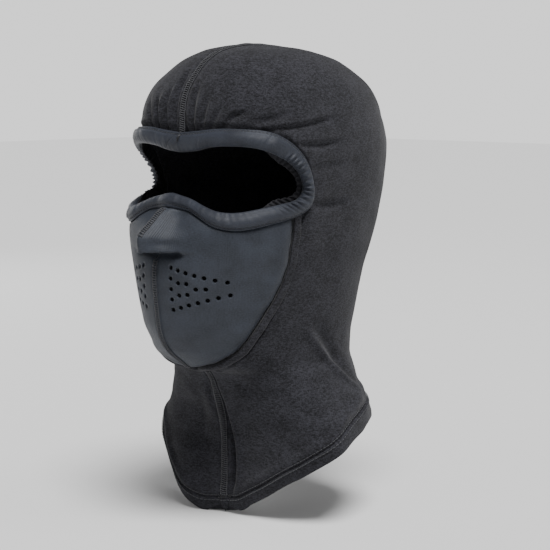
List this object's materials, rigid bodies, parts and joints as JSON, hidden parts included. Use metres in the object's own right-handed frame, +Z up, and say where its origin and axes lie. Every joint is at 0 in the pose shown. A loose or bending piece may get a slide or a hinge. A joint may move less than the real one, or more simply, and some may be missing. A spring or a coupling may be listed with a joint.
{
  "type": "balaclava",
  "caption": "Close-fitting balaclava with a heathered fleece hood, bound eye opening, and a perforated face mask with a nose pocket.",
  "frame": {"origin": "middle of the wearer's head at the height of the eyes, where the head fills the hood", "axes": "+Z up, the face looks along -Y, +X is the wearer's left"},
  "size_m": [0.1922, 0.2349, 0.3555],
  "materials": {
    "hood_fleece": "brushed heathered knit",
    "mask_laminate": "smooth jersey-faced laminate",
    "mask_lining": "brushed lining",
    "binding_fabric": "smooth stretch jersey",
    "elastic_tape": "ribbed woven elastic",
    "sewing_thread": "matt polyester thread",
    "label_satin": "blank woven satin"
  },
  "bodies": {
    "root": {"bottom_hem_coverstitch": "sewing_thread", "bottom_hem_left": "hood_fleece", "bottom_hem_right": "hood_fleece", "brow_bartack": "sewing_thread", "care_label": "label_satin", "crown_seam_stitching": "sewing_thread", "eye_port_binding": "binding_fabric", "eye_port_elastic": "elastic_tape", "eye_port_topstitch": "sewing_thread", "face_edge_roll": "hood_fleece", "hood_panel_left": "hood_fleece", "hood_panel_right": "hood_fleece", "mask_centre_stitching": "sewing_thread", "mask_lining_left": "mask_lining", "mask_lining_right": "mask_lining", "mask_panel_left": "mask_laminate", "mask_panel_right": "mask_laminate", "mask_seam_overlock": "sewing_thread", "nose_ridge_stitching": "sewing_thread", "throat_bartack": "sewing_thread", "throat_seam_stitching": "sewing_thread"}
  },
  "joints": []
}
